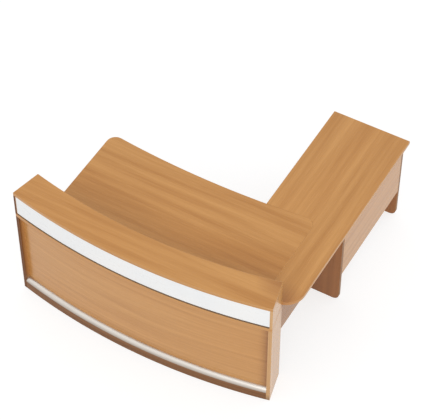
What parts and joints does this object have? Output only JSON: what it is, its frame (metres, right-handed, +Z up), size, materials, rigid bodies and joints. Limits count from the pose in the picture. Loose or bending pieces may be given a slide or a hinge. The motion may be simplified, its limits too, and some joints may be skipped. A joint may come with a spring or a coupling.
{
  "type": "checkout counter",
  "caption": "Bowed-front checkout counter in wood laminate with a raised ledge, white fascia band, desk-height worktop and a side return on legs.",
  "frame": {"origin": "middle of the footprint's bounding rectangle, on the floor", "axes": "+X to the right as a customer sees the counter, +Y from the bowed front to the clerk's side, +Z up"},
  "size_m": [1.924, 1.937, 0.95],
  "materials": {
    "wood_laminate": "satin wood-grain laminate on board",
    "dark_laminate": "matte dark brown laminate on board",
    "edge_band": "satin wood-coloured edge band",
    "white_panel": "smooth semi-gloss white",
    "aluminium": "satin anodised, brushed along its length",
    "beech": "raw planed beech",
    "steel_plate": "zinc-plated pressed steel",
    "zinc": "dull zinc plating"
  },
  "bodies": {
    "counter": {"left_end_panel": "wood_laminate", "right_end_panel": "wood_laminate", "front_panel": "wood_laminate", "left_upright": "wood_laminate", "right_upright": "wood_laminate", "worktop": "wood_laminate", "ledge_left_side": "wood_laminate", "ledge_right_side": "wood_laminate", "ledge_left_divider": "wood_laminate", "ledge_right_divider": "wood_laminate", "ledge_top": "wood_laminate", "left_gable": "wood_laminate", "return_top": "wood_laminate", "near_leg": "wood_laminate", "far_leg": "wood_laminate", "modesty_panel": "wood_laminate", "apron_panel": "wood_laminate", "left_end_band": "edge_band", "right_end_band": "edge_band", "worktop_band": "edge_band", "ledge_top_band": "edge_band", "left_gable_band": "edge_band", "return_top_band": "edge_band", "near_leg_band": "edge_band", "far_leg_band": "edge_band", "modesty_band": "edge_band", "apron_band": "edge_band", "base_rail": "dark_laminate", "fascia_backing_left": "dark_laminate", "fascia_backing_middle": "dark_laminate", "fascia_backing_right": "dark_laminate", "fascia": "white_panel", "kick_moulding": "aluminium", "left_batten": "beech", "right_batten": "beech", "dowels": "beech", "angle_brackets": "steel_plate", "tie_plates": "steel_plate", "bracket_screws": "zinc", "tie_plate_screws": "zinc", "fascia_screws": "zinc", "batten_screws": "zinc", "foot_inserts": "zinc"},
    "left_end_front_foot": {"left_end_front_foot": "zinc"},
    "left_end_rear_foot": {"left_end_rear_foot": "zinc"},
    "right_end_front_foot": {"right_end_front_foot": "zinc"},
    "right_end_rear_foot": {"right_end_rear_foot": "zinc"},
    "gable_front_foot": {"gable_front_foot": "zinc"},
    "gable_rear_foot": {"gable_rear_foot": "zinc"},
    "near_leg_left_foot": {"near_leg_left_foot": "zinc"},
    "near_leg_right_foot": {"near_leg_right_foot": "zinc"},
    "far_leg_left_foot": {"far_leg_left_foot": "zinc"},
    "far_leg_right_foot": {"far_leg_right_foot": "zinc"}
  },
  "joints": [
    {"name": "left_end_front_foot_wind", "type": "slide", "parent": "counter", "child": "left_end_front_foot", "axis": [0, 0, -1], "range_m": [0, 0.012]},
    {"name": "left_end_rear_foot_wind", "type": "slide", "parent": "counter", "child": "left_end_rear_foot", "axis": [0, 0, -1], "range_m": [0, 0.012]},
    {"name": "right_end_front_foot_wind", "type": "slide", "parent": "counter", "child": "right_end_front_foot", "axis": [0, 0, -1], "range_m": [0, 0.012]},
    {"name": "right_end_rear_foot_wind", "type": "slide", "parent": "counter", "child": "right_end_rear_foot", "axis": [0, 0, -1], "range_m": [0, 0.012]},
    {"name": "gable_front_foot_wind", "type": "slide", "parent": "counter", "child": "gable_front_foot", "axis": [0, 0, -1], "range_m": [0, 0.012]},
    {"name": "gable_rear_foot_wind", "type": "slide", "parent": "counter", "child": "gable_rear_foot", "axis": [0, 0, -1], "range_m": [0, 0.012]},
    {"name": "near_leg_left_foot_wind", "type": "slide", "parent": "counter", "child": "near_leg_left_foot", "axis": [0, 0, -1], "range_m": [0, 0.012]},
    {"name": "near_leg_right_foot_wind", "type": "slide", "parent": "counter", "child": "near_leg_right_foot", "axis": [0, 0, -1], "range_m": [0, 0.012]},
    {"name": "far_leg_left_foot_wind", "type": "slide", "parent": "counter", "child": "far_leg_left_foot", "axis": [0, 0, -1], "range_m": [0, 0.012]},
    {"name": "far_leg_right_foot_wind", "type": "slide", "parent": "counter", "child": "far_leg_right_foot", "axis": [0, 0, -1], "range_m": [0, 0.012]}
  ]
}
